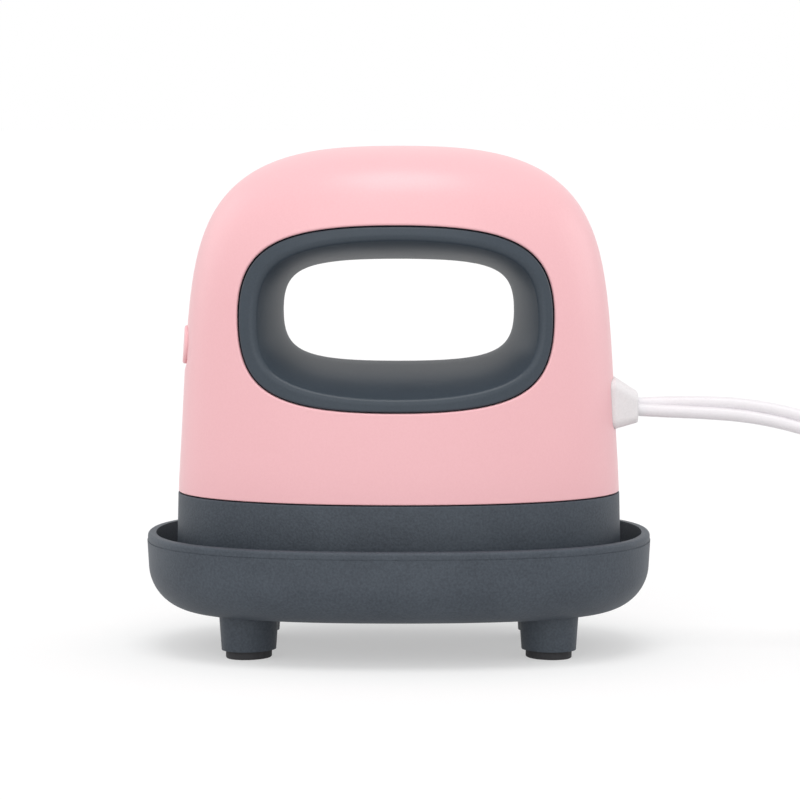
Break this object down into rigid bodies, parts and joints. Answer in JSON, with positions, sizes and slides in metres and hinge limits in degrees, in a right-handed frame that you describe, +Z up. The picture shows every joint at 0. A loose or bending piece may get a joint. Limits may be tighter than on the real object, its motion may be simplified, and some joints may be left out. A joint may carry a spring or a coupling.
{
  "type": "mini handheld heat press",
  "caption": "Small oval craft heat press with a loop handle through its crown, a side power button and a flat mains cord, standing in an oval heat-resistant safety base.",
  "frame": {"origin": "on the table, under the middle of the safety base", "axes": "+Z up, +X along the length of the press from the power button to the cord, -Y the front"},
  "size_m": [0.315, 0.0992, 0.1307],
  "materials": {
    "satin_abs": "satin pink ABS moulding",
    "liner_abs": "satin slate-grey moulding",
    "heat_resin": "fine moulded grain, dark slate-grey",
    "base_resin": "fine moulded grain, dark slate-grey",
    "black_rubber": "matt black",
    "silicone": "translucent grey silicone",
    "coated_plate": "non-stick coating on cast aluminium",
    "element_steel": "heat-tinted sheath",
    "mica_fibre": "white ceramic fibre board",
    "shield_metal": "thin pressed sheet",
    "zinc_screws": "zinc plated",
    "sensor_glass": "sleeved bead",
    "fuse_case": "drawn case",
    "strap_steel": "spring steel strip",
    "circuit_board": "green solder mask",
    "relay_case": "blue moulded case",
    "film_case": "yellow box",
    "can_sleeve": "shrunk sleeve",
    "chip_resin": "moulded epoxy",
    "terminal_resin": "green moulding",
    "button_abs": "satin pink ABS",
    "spring_steel": "drawn wire",
    "switch_case": "black moulding",
    "light_chip": "clear resin",
    "lens_resin": "milky light pipe",
    "relief_pvc": "white moulded PVC",
    "cord_pvc": "white flat twin cord",
    "clamp_nylon": "natural nylon",
    "lead_silicone": "insulated wire",
    "tie_strip": "black strap",
    "plug_pvc": "white moulded plug",
    "blade_nickel": "nickel plated"
  },
  "bodies": {
    "base": {"base_tray": "base_resin", "foot_pads": "black_rubber", "rest_pads": "silicone", "power_cord": "cord_pvc", "cord_coil": "cord_pvc", "cord_tie": "tie_strip", "plug_lead": "cord_pvc", "plug_body": "plug_pvc", "plug_blades": "blade_nickel"},
    "press": {"housing_front": "satin_abs", "housing_rear": "satin_abs", "housing_screws": "zinc_screws", "grip_liner_front": "liner_abs", "grip_liner_rear": "liner_abs", "heat_collar": "heat_resin", "collar_screws": "zinc_screws", "heating_plate": "coated_plate", "heating_element": "element_steel", "insulation_pad": "mica_fibre", "heat_shield": "shield_metal", "plate_screws": "zinc_screws", "thermistor": "sensor_glass", "thermal_fuse": "fuse_case", "sensor_straps": "strap_steel", "control_board": "circuit_board", "board_screws": "zinc_screws", "relay": "relay_case", "film_capacitor": "film_case", "bulk_capacitor": "can_sleeve", "controller_chip": "chip_resin", "terminal_block": "terminal_resin", "switch_board": "circuit_board", "tact_switch": "switch_case", "level_lights": "light_chip", "level_lenses": "lens_resin", "strain_relief": "relief_pvc", "cord_inner": "cord_pvc", "cord_clamp": "clamp_nylon", "clamp_screws": "zinc_screws", "supply_leads": "lead_silicone", "heater_leads": "lead_silicone", "sensor_leads": "lead_silicone", "switch_leads": "lead_silicone"},
    "button": {"power_button": "button_abs", "button_spring": "spring_steel"}
  },
  "joints": [
    {"name": "press_lift", "type": "slide", "parent": "base", "child": "press", "axis": [0, 0, 1], "range_m": [0, 0.045]},
    {"name": "button_press", "type": "slide", "parent": "press", "child": "button", "axis": [1, 0, 0], "range_m": [0, 0.0008], "stiffness_N_per_m": 900, "springref_m": -0.0006}
  ]
}
